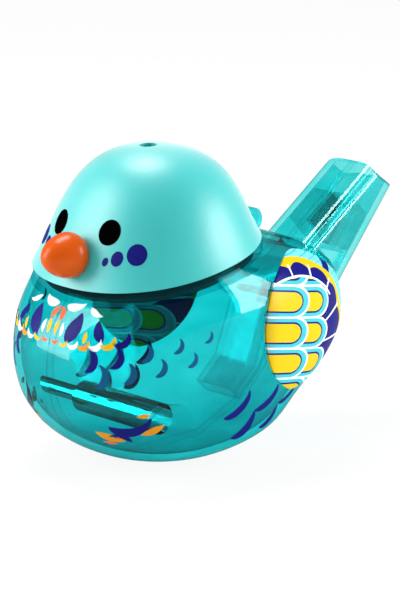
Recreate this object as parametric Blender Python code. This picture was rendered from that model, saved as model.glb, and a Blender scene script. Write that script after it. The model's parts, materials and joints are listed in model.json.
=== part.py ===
"""Bird-shaped water whistle.

The bird faces -Y and stands on Z = 0. A clear body in two halves, joined on X = 0, holds the water.
An opaque head cap plugs into its rim and carries the beak. The tail is the mouthpiece: a windway
block inside it aims the breath at a sharp edge, and an air duct leads down into the water.
"""

import math

import bmesh
import bpy
import numpy as np

# Rim of the body, where the head sits: an oval in a plane that is low at the front
RIM_HEIGHT = 0.0490
RIM_SHIFT = -0.0015
RIM_TILT = math.radians(11.9)
RIM_HALF_WIDTH = 0.0276
RIM_HALF_DEPTH = 0.0253
RIM_SQUARENESS = 0.20
RIM_BAND = 0.0020
RIM_WALL = 0.0020

# Body shell
BODY_HALF_WIDTH = 0.0305
BODY_FRONT_REACH = 0.0327
BODY_REAR_REACH = 0.0504
BODY_SQUARENESS = 0.43
BODY_WALL = 0.0018
SEAM_GAP = 0.0001

# Levels from the foot to below the rim, as shares of the rim's height and of the three reaches:
# height, front reach, back reach, half width
BODY_LEVELS = (
    (0.00, 0.253, 0.300, 0.316),
    (0.05, 0.486, 0.421, 0.615),
    (0.13, 0.663, 0.605, 0.770),
    (0.25, 0.833, 0.746, 0.835),
    (0.42, 0.957, 0.902, 0.936),
    (0.60, 1.000, 1.000, 0.984),
    (0.80, 0.963, 0.953, 1.000),
)

# Head cap
HEAD_RISE = 0.0248
HEAD_SHIFT = 0.0025
HEAD_WALL = 0.0018
HEAD_SEAT_GAP = 0.0003
HEAD_FLANGE = 0.0020
HEAD_HANDLES = ((1.0, 0.0), (0.79, 0.40), (0.72, 1.0), (0.0, 1.0))
COLLAR_DEPTH = 0.0032
COLLAR_WALL = 0.0015
COLLAR_CLEARANCE = 0.0003
VENT_RADIUS = 0.00205
VENT_FORWARD = 0.0008

# Beak
BEAK_HEIGHT = 0.0516
BEAK_RADIUS = 0.0050
BEAK_TIP_REACH = 0.0330
BEAK_CONE = 0.0092
BEAK_ROOT = 0.0060
BEAK_GAP = 0.0003
PEG_RADIUS = 0.0022
PEG_REACH = 0.0040
PEG_CLEARANCE = 0.0003

# Tail, measured along its own slanted axis from the origin of the part
TAIL_SLOPE = math.radians(44.0)
TAIL_TIP = 0.0894
TAIL_BASE = 0.0647
TAIL_ROOT = 0.0500
TAIL_HALF_WIDTH = 0.0086
TAIL_CORNER = 0.0027
TAIL_WALL = 0.0014
TAIL_TOP_AT_BASE = 0.0006
TAIL_TOP_AT_TIP = -0.0034
TAIL_BOTTOM_AT_BASE = -0.0155
TAIL_BOTTOM_AT_TIP = -0.0128
TAIL_TIP_BULGE = 0.0022
TAIL_TIP_SLANT = 0.17

# Windway block and voicing window
BLOCK_POCKET = 0.0075
BLOCK_LENGTH = 0.0105
BLOCK_CLEARANCE = 0.0003
WINDWAY_WIDTH = 0.0076
WINDWAY_HEIGHT = 0.0012
BLOCK_SLOT_WIDTH = 0.0011
BLOCK_SLOT_DEPTH = 0.0050
WINDOW_LENGTH = 0.0045
LABIUM_RAMP = 0.0055

# Air duct from the tail down into the water
DUCT_WALL = 0.0011
DUCT_CLEARANCE = 0.00035
DUCT_SPIGOT = 0.0070
DUCT_LABIUM_GAP = 0.0015
DUCT_CORNER = 0.0012
DUCT_HALF_DEPTH = 0.0025
DUCT_HALF_WIDTH = 0.0064
DUCT_BOX_HALF_DEPTH = 0.0040
DUCT_BOX_HALF_WIDTH = 0.0080

# Middle line of the duct from the tail's root down: y, z and the way down in degrees from level
DUCT_BOX_LINE = ((0.0400, 0.0364, 0.0), (0.0330, 0.0355, 42.0), (0.0332, 0.0333, 90.0))
DUCT_ARM_LINE = ((0.0341, 0.0305, 70.0), (0.0284, 0.0162, 54.0), (0.0219, 0.0105, 42.0))

# Joining pin and its socket, along X
JOIN_FORWARD = 0.0150
JOIN_HEIGHT = 0.0145
PIN_RADIUS = 0.00185
PIN_CLEARANCE = 0.0003
PIN_LENGTH_PAST_SEAM = 0.0040
BOSS_RADIUS = 0.0037
BOSS_PAST_SEAM = 0.0075
BOSS_FLARE = 0.0022
BOSS_FLARE_LENGTH = 0.0060

# Strap eyelet on the shoulder
EYELET_BACK = 0.0322
EYELET_HEIGHT = 0.0514
EYELET_RADIUS = 0.0030
EYELET_HOLE_RADIUS = 0.0013
EYELET_HALF_THICKNESS = 0.0016

# Wings, standing proud of the flanks, outlined in side view as Bezier stretches of (y, z)
WING_RELIEF = 0.0008
WING_INNER_LIMIT = 0.0080
WING_OUTLINE = (
    ((0.0200, 0.0166), (0.0130, 0.0185), (0.0078, 0.0255), (0.0074, 0.0330)),
    ((0.0074, 0.0330), (0.0070, 0.0405), (0.0110, 0.0462), (0.0206, 0.0481)),
    ((0.0206, 0.0481), (0.0260, 0.0490), (0.0350, 0.0462), (0.0390, 0.0385)),
    ((0.0390, 0.0385), (0.0415, 0.0290), (0.0330, 0.0165), (0.0200, 0.0166)),
)

# Facets
RING_SEGMENTS = 60
BODY_RINGS = 19
HEAD_RINGS = 10
ROUND_SEGMENTS = 28
CORNER_STEPS = 4
SIDE_STEPS = 5

FAR = 0.2

TURQUOISE = (0.10, 0.62, 0.60, 1.0)
ORANGE = (0.83, 0.16, 0.02, 1.0)
CLEAR_TEAL = (0.05, 0.62, 0.62, 0.45)
PALE_TEAL = (0.25, 0.80, 0.80, 0.45)


def clear_scene():
    for old in list(bpy.data.objects):
        bpy.data.objects.remove(old, do_unlink=True)


def add_reference():
    """An empty that carries every object, so that the origin lies under the middle of the whole."""
    tail_end = max(point[1] for point in tail_ring(TAIL_TIP, 0.0, TAIL_TIP_BULGE))
    empty = bpy.data.objects.new("reference", None)
    empty.location.y = 0.5 * (BEAK_TIP_REACH - tail_end)
    bpy.context.scene.collection.objects.link(empty)
    for item in bpy.data.objects:
        if item is not empty:
            item.parent = empty


def material(name, colour, roughness):
    made = bpy.data.materials.new(name)
    made.use_nodes = True
    shader = made.node_tree.nodes["Principled BSDF"]
    shader.inputs["Base Color"].default_value = colour
    shader.inputs["Roughness"].default_value = roughness
    shader.inputs["Metallic"].default_value = 0.0
    shader.inputs["Alpha"].default_value = colour[3]
    return made


def add_object(name, bm, finish=None):
    """Turn a bmesh into an object; without a finish it is a cutter or a guide."""
    bmesh.ops.recalc_face_normals(bm, faces=bm.faces)
    mesh = bpy.data.meshes.new(name)
    bm.to_mesh(mesh)
    bm.free()
    item = bpy.data.objects.new(name, mesh)
    bpy.context.scene.collection.objects.link(item)
    if finish is None:
        item.hide_render = True
        item.display_type = "WIRE"
    else:
        mesh.materials.append(finish)
        mesh.shade_smooth()
        mesh.set_sharp_from_angle(angle=math.radians(35))
    return item


def boolean(item, tool, operation):
    change = item.modifiers.new(f"{operation.lower()}_{tool.name}", "BOOLEAN")
    change.operation = operation
    change.solver = "EXACT"
    change.object = tool


def add_strips(bm, row):
    """Close a rounded box's ring with strips from each long side to the other."""
    count = len(row)
    for i in range(count // 2 - 1):
        bm.faces.new((row[i], row[i + 1], row[count - 2 - i], row[count - 1 - i]))


def loft(rings, closed_path=False, strip_end=False):
    """Skin a list of rings of equal length, with a cap on each end unless the path closes."""
    bm = bmesh.new()
    rows = [[bm.verts.new(point) for point in ring] for ring in rings]
    pairs = list(zip(rows, rows[1:]))
    if closed_path:
        pairs.append((rows[-1], rows[0]))
    for low, high in pairs:
        count = len(low)
        for i in range(count):
            j = (i + 1) % count
            bm.faces.new((low[i], low[j], high[j], high[i]))
    if not closed_path:
        bm.faces.new(rows[0])
        if strip_end:
            add_strips(bm, rows[-1])
        else:
            bm.faces.new(rows[-1])
    return bm


def prism(outline, low_x, high_x):
    """Extrude an outline of (y, z) points along X."""
    return loft([[(x, y, z) for y, z in outline] for x in (low_x, high_x)])


def turned(profile, place, direction):
    """Revolve (along, radius) points about a line through place, and cap both ends."""
    side = (0.0, 0.0, 1.0) if direction[2] == 0.0 else (0.0, 1.0, 0.0)
    axis = np.array(direction)
    across = np.cross(axis, side)
    other = np.cross(axis, across)
    rings = []
    for along, radius in profile:
        centre = np.array(place) + axis * along
        rings.append([
            tuple(centre + radius * (across * math.cos(a) + other * math.sin(a)))
            for a in (math.tau * i / ROUND_SEGMENTS for i in range(ROUND_SEGMENTS))
        ])
    return loft(rings)


def bezier(points, t):
    p0, p1, p2, p3 = (np.array(point) for point in points)
    s = 1.0 - t
    return s ** 3 * p0 + 3 * s * s * t * p1 + 3 * s * t * t * p2 + t ** 3 * p3


def slopes(values):
    """Tangents of a smooth curve through evenly spaced values that never overshoots them."""
    steps = np.diff(values)
    inner = [0.0 if a * b <= 0.0 else 2.0 * a * b / (a + b) for a, b in zip(steps, steps[1:])]
    first = 0.5 * (3.0 * steps[0] - steps[1])
    last = 0.5 * (3.0 * steps[-1] - steps[-2])
    return [first] + inner + [last]


def smooth(values, v):
    """Read the smooth curve through the values at share v of its length."""
    tangents = slopes(values)
    place = v * (len(values) - 1)
    i = min(int(place), len(values) - 2)
    t = place - i
    return ((2 * t ** 3 - 3 * t * t + 1) * values[i] + (t ** 3 - 2 * t * t + t) * tangents[i]
            + (3 * t * t - 2 * t ** 3) * values[i + 1] + (t ** 3 - t * t) * tangents[i + 1])


def ring_angles():
    """Angles round a ring, set half a step off so that none lies on the seam."""
    return [math.tau * (i + 0.5) / RING_SEGMENTS for i in range(RING_SEGMENTS)]


def rim_point(share, drop=0.0, inset=0.0):
    """A point (y, z) on the rim's long axis; share is -1 at the front and 1 at the back."""
    reach = share * (RIM_HALF_DEPTH - inset)
    y = RIM_SHIFT + reach * math.cos(RIM_TILT) + drop * math.sin(RIM_TILT)
    z = RIM_HEIGHT + reach * math.sin(RIM_TILT) - drop * math.cos(RIM_TILT)
    return y, z


def oval(front, back, half_width, squareness=0.0):
    """A ring in the plane through the front and back points (y, z), fuller with more squareness."""
    power = 2.0 + squareness
    ring = []
    for angle in ring_angles():
        cos, sin = math.cos(angle), math.sin(angle)
        reach = (abs(cos) ** power + abs(sin) ** power) ** (-1.0 / power)
        share = 0.5 + 0.5 * reach * sin
        y = front[0] + (back[0] - front[0]) * share
        z = front[1] + (back[1] - front[1]) * share
        ring.append((half_width * reach * cos, y, z))
    return ring


def rim_ring(drop, inset=0.0):
    return oval(rim_point(-1.0, drop, inset), rim_point(1.0, drop, inset), RIM_HALF_WIDTH - inset,
                RIM_SQUARENESS)


def body_ring(v):
    """The outer skin's ring at share v of the way from the foot to the rim band."""
    front_end, back_end = rim_point(-1.0, RIM_BAND), rim_point(1.0, RIM_BAND)
    heights = [level[0] for level in BODY_LEVELS] + [1.0]
    fronts = [-BODY_FRONT_REACH * level[1] for level in BODY_LEVELS] + [front_end[0]]
    backs = [BODY_REAR_REACH * level[2] for level in BODY_LEVELS] + [back_end[0]]
    widths = [BODY_HALF_WIDTH * level[3] for level in BODY_LEVELS] + [RIM_HALF_WIDTH]
    height = smooth(heights, v)
    front = (smooth(fronts, v), height * front_end[1])
    back = (smooth(backs, v), height * back_end[1])
    squareness = RIM_SQUARENESS * v + BODY_SQUARENESS * max(math.sin(math.pi * v), 0.0) ** 0.7
    return oval(front, back, smooth(widths, v), squareness)


def offset_rings(rings, distance):
    """Move each point of a skin along its outward normal."""
    grid = np.array(rings)
    along = np.gradient(grid, axis=0)
    around = np.roll(grid, -1, axis=1) - np.roll(grid, 1, axis=1)
    normal = np.cross(around, along)
    normal /= np.linalg.norm(normal, axis=2, keepdims=True)
    return [[tuple(point) for point in ring] for ring in grid + normal * distance]


def body_skin(offset):
    rings = [body_ring(i / BODY_RINGS) for i in range(BODY_RINGS + 1)]
    return offset_rings(rings, offset) if offset else rings


def head_ring(t):
    """The dome's ring at parameter t, level at the top and in the rim's plane at the bottom."""
    share, rise = bezier(HEAD_HANDLES, t)
    tilt = RIM_TILT * (1.0 - rise)
    centre_y = RIM_SHIFT + HEAD_SHIFT * rise
    centre_z = RIM_HEIGHT + HEAD_RISE * rise
    reach_y = share * RIM_HALF_DEPTH * math.cos(tilt)
    reach_z = share * RIM_HALF_DEPTH * math.sin(tilt)
    front = (centre_y - reach_y, centre_z - reach_z)
    back = (centre_y + reach_y, centre_z + reach_z)
    return oval(front, back, share * RIM_HALF_WIDTH, RIM_SQUARENESS * share)


def head_skin(offset=0.0):
    rings = [head_ring(0.985 * i / HEAD_RINGS) for i in range(HEAD_RINGS + 1)]
    return offset_rings(rings, offset) if offset else rings


def lifted(rings, rise):
    """Move rings along the rim's upward normal."""
    y, z = -rise * math.sin(RIM_TILT), rise * math.cos(RIM_TILT)
    return [[(p[0], p[1] + y, p[2] + z) for p in ring] for ring in rings]


def tail_frame(s, t):
    """World (y, z) of a point s along the tail's axis and t above it."""
    cos, sin = math.cos(TAIL_SLOPE), math.sin(TAIL_SLOPE)
    return s * cos - t * sin, s * sin + t * cos


def tail_line(s, at_base, at_tip):
    return at_base + (at_tip - at_base) * (s - TAIL_BASE) / (TAIL_TIP - TAIL_BASE)


def tail_top(s):
    return tail_line(s, TAIL_TOP_AT_BASE, TAIL_TOP_AT_TIP)


def tail_bottom(s):
    return tail_line(s, TAIL_BOTTOM_AT_BASE, TAIL_BOTTOM_AT_TIP)


def rounded_box(half_width, low, high, corner):
    """Points (x, t) of a rectangle with round corners and divided long sides."""
    flat = half_width - corner
    corners = (
        (flat, high - corner, 0.0),
        (-flat, high - corner, 0.25),
        (-flat, low + corner, 0.5),
        (flat, low + corner, 0.75),
    )
    points = []
    for x, t, turn in corners:
        for step in range(CORNER_STEPS + 1):
            angle = math.tau * (turn + 0.25 * step / CORNER_STEPS)
            points.append((x + corner * math.cos(angle), t + corner * math.sin(angle)))
        if turn in (0.0, 0.5):
            side = high if turn == 0.0 else low
            for step in range(1, SIDE_STEPS):
                points.append((x * (1.0 - 2.0 * step / SIDE_STEPS), side))
    return points


def tail_ring(s, inset, bulge=0.0):
    """A ring of the tail tube, drawn in by the inset; with a bulge it is the tip's rounded edge."""
    outline = rounded_box(TAIL_HALF_WIDTH - inset, tail_bottom(s) + inset, tail_top(s) - inset,
                          TAIL_CORNER - inset)
    ring = []
    for x, t in outline:
        out = s
        if bulge:
            out += bulge * (1.0 - (x / TAIL_HALF_WIDTH) ** 4) + TAIL_TIP_SLANT * (tail_top(s) - t)
        ring.append((x, *tail_frame(out, t)))
    return ring


def block_span():
    """Where the windway block starts and ends along the tail's axis, inner end first."""
    outer = TAIL_TIP - BLOCK_POCKET
    return outer - BLOCK_LENGTH, outer


def make_tail():
    rings = [tail_ring(TAIL_ROOT, 0.0), tail_ring(TAIL_TIP, 0.0, TAIL_TIP_BULGE)]
    return add_object("tail_form", loft(rings, strip_end=True))


def make_tail_bore():
    ends = (TAIL_ROOT - TAIL_WALL, TAIL_TIP + 2 * TAIL_TIP_BULGE)
    rings = [tail_ring(s, TAIL_WALL) for s in ends]
    return add_object("tail_bore", loft(rings))


def make_window():
    """The voicing window under the tail, with the ramp that sharpens its far edge."""
    jet_end = block_span()[0]
    edge = jet_end - WINDOW_LENGTH
    through = 1.15 * TAIL_WALL
    outside = 0.5 * TAIL_WALL
    ramp_end = edge - LABIUM_RAMP * (through + outside) / through
    corners = (
        (jet_end, tail_bottom(jet_end) - outside),
        (jet_end, tail_bottom(jet_end) + through),
        (edge, tail_bottom(edge) + through),
        (ramp_end, tail_bottom(ramp_end) - outside),
    )
    outline = [tail_frame(s, t) for s, t in corners]
    return add_object("window_cutter", prism(outline, -0.5 * WINDWAY_WIDTH, 0.5 * WINDWAY_WIDTH))


def make_wings():
    """Wing prisms cut from a slightly grown body skin."""
    outline = [tuple(bezier(stretch, i / 8)) for stretch in WING_OUTLINE for i in range(8)]
    wings = []
    for name, sign in (("wing_form_left", 1.0), ("wing_form_right", -1.0)):
        wing = add_object(name, prism(outline, sign * WING_INNER_LIMIT, sign * 2 * BODY_HALF_WIDTH))
        wings.append(wing)
    grown = add_object("wing_skin", loft(body_skin(WING_RELIEF)))
    for wing in wings:
        boolean(wing, grown, "INTERSECT")
    return wings


def make_eyelet():
    profile = ((-EYELET_HALF_THICKNESS, EYELET_RADIUS), (EYELET_HALF_THICKNESS, EYELET_RADIUS))
    place = (0.0, EYELET_BACK, EYELET_HEIGHT)
    tab = add_object("eyelet_form", turned(profile, place, (1.0, 0.0, 0.0)))
    through = ((-FAR, EYELET_HOLE_RADIUS), (FAR, EYELET_HOLE_RADIUS))
    hole = add_object("eyelet_hole", turned(through, place, (1.0, 0.0, 0.0)))
    return tab, hole


def make_half_space(name, sign):
    """All space on one side of the seam."""
    reach = ((-FAR, -FAR), (FAR, -FAR), (FAR, FAR), (-FAR, FAR))
    return add_object(name, prism(reach, sign * 0.5 * SEAM_GAP, sign * FAR))


def make_join():
    """The boss with its socket on the left half, and the pin on the right half."""
    place = (0.0, -JOIN_FORWARD, JOIN_HEIGHT)
    wall = BODY_HALF_WIDTH
    flare_end = wall - BOSS_FLARE_LENGTH * 0.5
    flare_start = flare_end - BOSS_FLARE_LENGTH - BOSS_FLARE
    boss_profile = (
        (-BOSS_PAST_SEAM, BOSS_RADIUS),
        (flare_start, BOSS_RADIUS),
        (flare_end, BOSS_RADIUS + BOSS_FLARE),
        (wall, BOSS_RADIUS + BOSS_FLARE),
    )
    boss = add_object("boss_form", turned(boss_profile, place, (1.0, 0.0, 0.0)))
    socket_radius = PIN_RADIUS + PIN_CLEARANCE
    socket_end = PIN_LENGTH_PAST_SEAM + 4 * PIN_CLEARANCE
    socket_profile = ((-FAR, socket_radius), (socket_end, socket_radius))
    socket = add_object("boss_socket", turned(socket_profile, place, (1.0, 0.0, 0.0)))
    pin_profile = ((-wall, PIN_RADIUS), (PIN_LENGTH_PAST_SEAM, PIN_RADIUS))
    pin = add_object("pin_form", turned(pin_profile, place, (1.0, 0.0, 0.0)))
    limit = add_object("join_limit", loft(body_skin(-0.5 * BODY_WALL)))
    boolean(boss, limit, "INTERSECT")
    boolean(pin, limit, "INTERSECT")
    return boss, socket, pin


def make_body(clear):
    """Both halves of the clear body, with the tail, wings, eyelet, boss and pin."""
    cavity_rings = body_skin(-BODY_WALL)[:-1]
    cavity_rings += [rim_ring(RIM_BAND, RIM_WALL), rim_ring(-RIM_BAND, RIM_WALL)]
    cavity = add_object("body_cavity", loft(cavity_rings))
    tail, bore, window = make_tail(), make_tail_bore(), make_window()
    tab, hole = make_eyelet()
    boss, socket, pin = make_join()
    sides = (
        ("body_left", 1.0, (boss,), (socket,)),
        ("body_right", -1.0, (pin,), ()),
    )
    halves = []
    for (name, sign, added, cut), wing in zip(sides, make_wings()):
        half = add_object(name, loft(body_skin(0.0) + [rim_ring(0.0)]), clear)
        for form in (tail, tab, wing):
            boolean(half, form, "UNION")
        for cutter in (cavity, bore, window, hole):
            boolean(half, cutter, "DIFFERENCE")
        boolean(half, make_half_space(f"half_space_{name}", sign), "INTERSECT")
        for form in added:
            boolean(half, form, "UNION")
        for cutter in cut:
            boolean(half, cutter, "DIFFERENCE")
        halves.append(half)
    return halves


def make_head(paint):
    """The opaque dome with its plug collar, beak hole and top vent."""
    rim_inset = RIM_WALL + COLLAR_CLEARANCE
    bore_inset = rim_inset + COLLAR_WALL
    head = add_object("head_cap", loft(lifted(head_skin(), HEAD_SEAT_GAP)), paint)
    collar = add_object("collar_form", loft([
        rim_ring(COLLAR_DEPTH, rim_inset), rim_ring(-0.5 * HEAD_FLANGE, rim_inset),
    ]))
    bore = [rim_ring(2 * COLLAR_DEPTH, bore_inset), rim_ring(-HEAD_FLANGE, bore_inset)]
    hollow = add_object("head_hollow", loft(bore + head_skin(-HEAD_WALL)[1:]))
    apex = RIM_HEIGHT + HEAD_RISE
    vent_profile = ((-0.5 * HEAD_RISE, VENT_RADIUS), (HEAD_RISE, VENT_RADIUS))
    vent_place = (0.0, -VENT_FORWARD, apex)
    vent = add_object("vent_cutter", turned(vent_profile, vent_place, (0.0, 0.0, 1.0)))
    hole_radius = PEG_RADIUS + PEG_CLEARANCE
    peg_profile = ((0.0, hole_radius), (FAR, hole_radius))
    peg_hole = add_object("peg_hole", turned(peg_profile, (0.0, 0.0, BEAK_HEIGHT), (0.0, -1.0, 0.0)))
    boolean(head, collar, "UNION")
    for cutter in (hollow, vent, peg_hole):
        boolean(head, cutter, "DIFFERENCE")
    return head


def make_beak(paint):
    """A rounded cone whose back follows the head, with a peg through the head's wall."""
    steps = 8
    nose = ((0.0, 0.05), (0.0, 0.55), (0.45, 0.97), (1.0, 1.0))
    profile = []
    for i in range(steps + 1):
        along, radius = bezier(nose, i / steps)
        profile.append((along * BEAK_CONE, radius * BEAK_RADIUS))
    profile.append((BEAK_CONE + BEAK_ROOT, BEAK_RADIUS))
    tip = (0.0, -BEAK_TIP_REACH, BEAK_HEIGHT)
    beak = add_object("beak", turned(profile, tip, (0.0, 1.0, 0.0)), paint)
    face = add_object("beak_seat", loft(body_skin(BEAK_GAP) + lifted(head_skin(BEAK_GAP), HEAD_SEAT_GAP)))
    peg_start = BEAK_TIP_REACH - RIM_HALF_DEPTH + RIM_SHIFT + HEAD_WALL
    peg_profile = ((0.4 * BEAK_CONE, PEG_RADIUS), (peg_start + PEG_REACH, PEG_RADIUS))
    peg = add_object("peg_form", turned(peg_profile, tip, (0.0, 1.0, 0.0)))
    boolean(beak, face, "DIFFERENCE")
    boolean(beak, peg, "UNION")
    return beak


def make_windway_block(clear):
    """A wedge that fills the tail tube, cored along its top, with a flat windway along its underside."""
    inset = TAIL_WALL + BLOCK_CLEARANCE
    span = block_span()
    block = add_object("windway_block", loft([tail_ring(s, inset) for s in span]), clear)
    half = 0.5 * WINDWAY_WIDTH
    groove_rings = []
    for s in (span[0] - BLOCK_LENGTH, span[1] + BLOCK_LENGTH):
        low = tail_bottom(s)
        high = low + TAIL_WALL + WINDWAY_HEIGHT
        corners = ((-half, low), (half, low), (half, high), (-half, high))
        groove_rings.append([(x, *tail_frame(s, t)) for x, t in corners])
    groove = add_object("windway_cutter", loft(groove_rings))
    half = 0.5 * BLOCK_SLOT_WIDTH
    slot_rings = []
    for s in (span[0] - BLOCK_LENGTH, span[1] + BLOCK_LENGTH):
        high = tail_top(s)
        low = high - inset - BLOCK_SLOT_DEPTH
        corners = ((-half, low), (half, low), (half, high), (-half, high))
        slot_rings.append([(x, *tail_frame(s, t)) for x, t in corners])
    slot = add_object("block_slot", loft(slot_rings))
    for cutter in (groove, slot):
        boolean(block, cutter, "DIFFERENCE")
    return block


def duct_ring(centre, degrees, half_width, half_depth):
    """A rounded box across the duct's path, which goes forward and down at the given slope."""
    slope = math.radians(degrees)
    up_y, up_z = -math.sin(slope), math.cos(slope)
    outline = rounded_box(half_width, -half_depth, half_depth, min(DUCT_CORNER, 0.6 * half_depth))
    return [(x, centre[0] + t * up_y, centre[1] + t * up_z) for x, t in outline]


def make_air_duct(clear):
    """A rectangular tube: a spigot in the tail's mouth, a box behind it, and an arm down."""
    top = block_span()[0] - WINDOW_LENGTH - DUCT_LABIUM_GAP
    snug = TAIL_WALL + DUCT_CLEARANCE
    stations = []
    for s in (top, top - DUCT_SPIGOT):
        middle = 0.5 * (tail_top(s) + tail_bottom(s))
        depth = 0.5 * (tail_top(s) - tail_bottom(s)) - snug
        stations.append((tail_frame(s, middle), math.degrees(TAIL_SLOPE), TAIL_HALF_WIDTH - snug, depth))
    for y, z, degrees in DUCT_BOX_LINE:
        mitre = 1.0 / math.cos(math.radians(min(degrees, 90.0 - degrees)))
        stations.append(((y, z), degrees, DUCT_BOX_HALF_WIDTH, DUCT_BOX_HALF_DEPTH * mitre))
    for y, z, degrees in DUCT_ARM_LINE:
        stations.append(((y, z), degrees, DUCT_HALF_WIDTH, DUCT_HALF_DEPTH))
    outer = [duct_ring(*station) for station in stations]
    inner = [duct_ring(centre, degrees, width - DUCT_WALL, depth - DUCT_WALL)
             for centre, degrees, width, depth in stations]
    return add_object("air_duct", loft(outer + inner[::-1], closed_path=True), clear)


def main():
    clear_scene()
    clear = material("clear_teal", CLEAR_TEAL, 0.08)
    pale = material("pale_teal", PALE_TEAL, 0.10)
    make_body(clear)
    make_head(material("turquoise", TURQUOISE, 0.35))
    make_beak(material("orange", ORANGE, 0.25))
    make_windway_block(pale)
    make_air_duct(pale)
    add_reference()


main()
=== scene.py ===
"""Looks of the bird-shaped water whistle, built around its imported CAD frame."""

import json
import math

import bmesh
import bpy
import numpy as np
from mathutils import Matrix, Vector
from mathutils.bvhtree import BVHTree

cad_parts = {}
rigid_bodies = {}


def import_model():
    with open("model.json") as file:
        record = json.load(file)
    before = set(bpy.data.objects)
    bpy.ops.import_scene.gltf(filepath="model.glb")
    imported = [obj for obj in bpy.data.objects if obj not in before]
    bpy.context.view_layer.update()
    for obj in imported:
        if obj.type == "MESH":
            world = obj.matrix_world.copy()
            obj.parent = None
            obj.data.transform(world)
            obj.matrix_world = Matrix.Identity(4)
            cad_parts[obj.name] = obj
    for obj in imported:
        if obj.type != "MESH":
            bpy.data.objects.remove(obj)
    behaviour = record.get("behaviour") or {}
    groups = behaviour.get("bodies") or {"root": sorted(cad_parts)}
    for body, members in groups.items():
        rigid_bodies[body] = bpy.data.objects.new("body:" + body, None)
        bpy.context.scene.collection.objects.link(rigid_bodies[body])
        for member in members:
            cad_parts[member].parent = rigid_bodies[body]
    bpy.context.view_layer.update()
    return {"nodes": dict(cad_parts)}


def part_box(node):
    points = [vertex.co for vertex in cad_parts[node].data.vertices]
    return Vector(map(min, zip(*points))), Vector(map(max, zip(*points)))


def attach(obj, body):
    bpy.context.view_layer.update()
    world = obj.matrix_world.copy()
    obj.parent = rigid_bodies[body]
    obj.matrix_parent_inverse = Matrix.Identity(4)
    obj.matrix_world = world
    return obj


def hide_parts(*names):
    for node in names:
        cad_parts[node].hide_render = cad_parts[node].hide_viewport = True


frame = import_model()

# Sizes repeated from part.py, in metres
RIM_HEIGHT = 0.0490
RIM_SHIFT = -0.0015
RIM_TILT = math.radians(11.9)
RIM_HALF_WIDTH = 0.0276
RIM_HALF_DEPTH = 0.0253
RIM_SQUARENESS = 0.20
RIM_BAND = 0.0020
RIM_WALL = 0.0020
BODY_HALF_WIDTH = 0.0305
BODY_FRONT_REACH = 0.0327
BODY_REAR_REACH = 0.0504
BODY_SQUARENESS = 0.43
BODY_WALL = 0.0018
SEAM_GAP = 0.0001
BODY_LEVELS = (
    (0.00, 0.253, 0.300, 0.316),
    (0.05, 0.486, 0.421, 0.615),
    (0.13, 0.663, 0.605, 0.770),
    (0.25, 0.833, 0.746, 0.835),
    (0.42, 0.957, 0.902, 0.936),
    (0.60, 1.000, 1.000, 0.984),
    (0.80, 0.963, 0.953, 1.000),
)
HEAD_RISE = 0.0248
HEAD_SHIFT = 0.0025
HEAD_WALL = 0.0018
HEAD_SEAT_GAP = 0.0003
HEAD_FLANGE = 0.0020
HEAD_HANDLES = ((1.0, 0.0), (0.79, 0.40), (0.72, 1.0), (0.0, 1.0))
HEAD_TOP_SHARE = 0.985
COLLAR_DEPTH = 0.0032
COLLAR_WALL = 0.0015
COLLAR_CLEARANCE = 0.0003
VENT_RADIUS = 0.00205
VENT_FORWARD = 0.0008
BEAK_HEIGHT = 0.0516
BEAK_BULGE = 0.0053
BEAK_TIP_REACH = 0.0330
BEAK_CONE = 0.0092
BEAK_ROOT = 0.0060
BEAK_NOSE = ((0.0, 0.05), (0.0, 0.36), (0.24, 0.86), (0.70, 1.0))
BEAK_BACK = ((0.70, 1.0), (0.88, 1.04), (1.02, 0.96), (1.14, 0.66))
SEAT_GAP = 0.00002
TAIL_SLOPE = math.radians(44.0)
TAIL_TIP = 0.0894
TAIL_BASE = 0.0647
TAIL_ROOT = 0.0500
TAIL_HALF_WIDTH = 0.0086
TAIL_CORNER = 0.0027
TAIL_WALL = 0.0014
TAIL_TOP_AT_BASE = 0.0006
TAIL_TOP_AT_TIP = -0.0034
TAIL_BOTTOM_AT_BASE = -0.0155
TAIL_BOTTOM_AT_TIP = -0.0128
TAIL_TIP_BULGE = 0.0022
TAIL_TIP_SLANT = 0.17
BLOCK_POCKET = 0.0075
BLOCK_LENGTH = 0.0105
WINDWAY_WIDTH = 0.0076
WINDOW_LENGTH = 0.0045
WINDOW_CUT = 1.15
LABIUM_RAMP = 0.0055
JOIN_FORWARD = 0.0150
JOIN_HEIGHT = 0.0145
PIN_RADIUS = 0.00185
PIN_CLEARANCE = 0.0003
PIN_LENGTH_PAST_SEAM = 0.0040
BOSS_RADIUS = 0.0037
BOSS_PAST_SEAM = 0.0075
BOSS_FLARE = 0.0022
BOSS_FLARE_LENGTH = 0.0060
EYELET_BACK = 0.0322
EYELET_HEIGHT = 0.0514
EYELET_RADIUS = 0.0030
EYELET_HOLE_RADIUS = 0.0013
EYELET_HALF_THICKNESS = 0.0016
WING_RELIEF = 0.0008
WING_EDGE_DROP = 0.0001
WING_EDGE_LIFT = 0.00002
WING_OUTLINE = (
    ((0.0200, 0.0166), (0.0130, 0.0185), (0.0078, 0.0255), (0.0074, 0.0330)),
    ((0.0074, 0.0330), (0.0070, 0.0405), (0.0110, 0.0462), (0.0206, 0.0481)),
    ((0.0206, 0.0481), (0.0260, 0.0490), (0.0350, 0.0462), (0.0390, 0.0385)),
    ((0.0390, 0.0385), (0.0415, 0.0290), (0.0330, 0.0165), (0.0200, 0.0166)),
)

# Resolution of the visual shells
RING_SEGMENTS = 144
BODY_RINGS = 54
HEAD_RINGS = 36
ROUND_SEGMENTS = 56
CORNER_STEPS = 8
FLARE_STEPS = 8
WING_STEPS = 20
WING_LAYERS = 26
BEAK_NOSE_STEPS = 24
BEAK_BACK_STEPS = 12
SIDE_STEPS = 9
FAR = 0.2

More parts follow.
